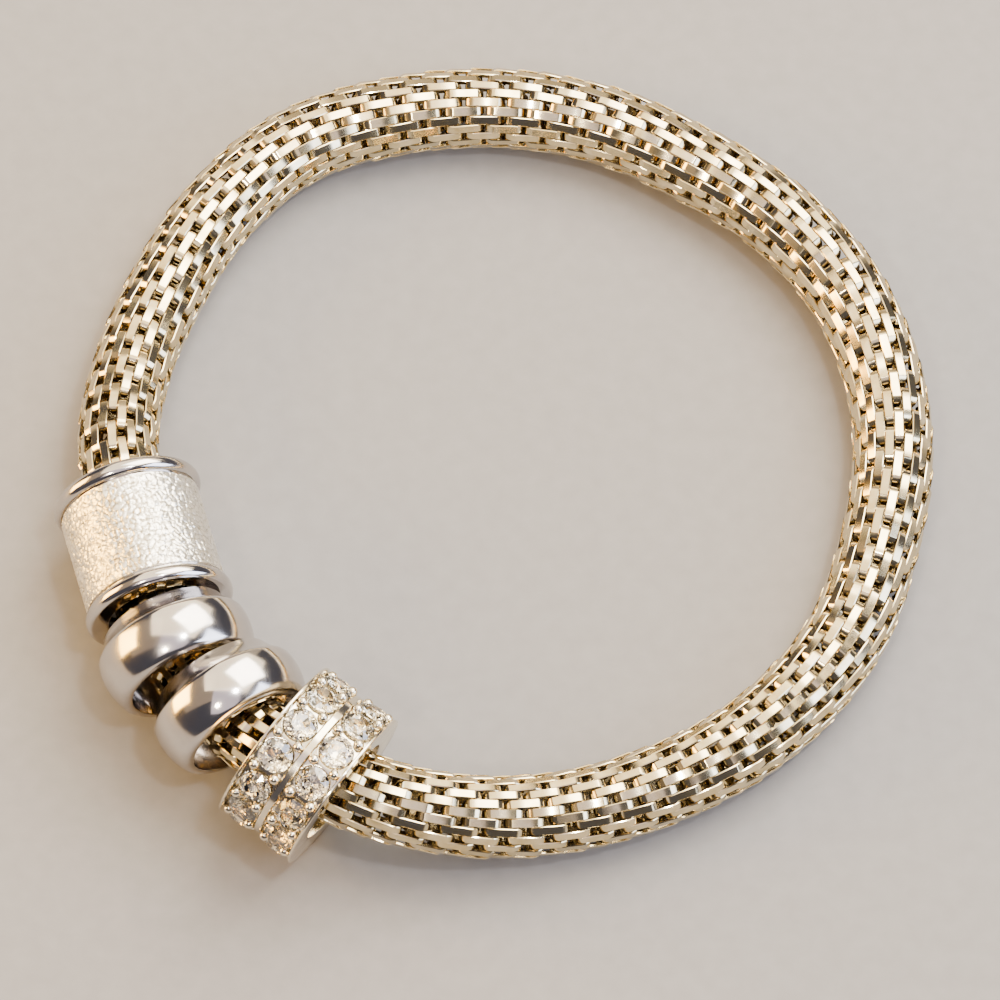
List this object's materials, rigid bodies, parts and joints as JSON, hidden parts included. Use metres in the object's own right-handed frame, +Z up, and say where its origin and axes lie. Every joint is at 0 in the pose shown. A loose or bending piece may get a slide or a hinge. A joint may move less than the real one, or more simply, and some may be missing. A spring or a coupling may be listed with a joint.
{
  "type": "mesh bracelet",
  "caption": "Closed loop of woven metal mesh tube with metal slider beads threaded on it, worn round the wrist.",
  "frame": {"origin": "middle of the wrist opening, on the surface that the bracelet lies on", "axes": "+Z up, through the wrist opening; the beads sit towards -X and -Y"},
  "size_m": [0.0679, 0.0699, 0.0144],
  "materials": {
    "silver_mesh": "bright plated woven links",
    "plain_steel": "plain turned",
    "frosted_silver": "sparkling frosted sleeve between polished rims",
    "polished_silver": "mirror polished",
    "clear_crystal": "cut and polished"
  },
  "bodies": {
    "root": {"mesh_tube": "silver_mesh", "clasp": "plain_steel", "barrel_bead": "frosted_silver", "ring_bead_a": "polished_silver", "ring_bead_b": "polished_silver", "stone_ring": "polished_silver", "stone_01": "clear_crystal", "stone_02": "clear_crystal", "stone_03": "clear_crystal", "stone_04": "clear_crystal", "stone_05": "clear_crystal", "stone_06": "clear_crystal", "stone_07": "clear_crystal", "stone_08": "clear_crystal", "stone_09": "clear_crystal", "stone_10": "clear_crystal", "stone_11": "clear_crystal", "stone_12": "clear_crystal", "stone_13": "clear_crystal", "stone_14": "clear_crystal", "stone_15": "clear_crystal", "stone_16": "clear_crystal", "stone_17": "clear_crystal", "stone_18": "clear_crystal", "stone_19": "clear_crystal", "stone_20": "clear_crystal", "stone_21": "clear_crystal", "stone_22": "clear_crystal", "stone_23": "clear_crystal", "stone_24": "clear_crystal", "stone_25": "clear_crystal", "stone_26": "clear_crystal"}
  },
  "joints": []
}
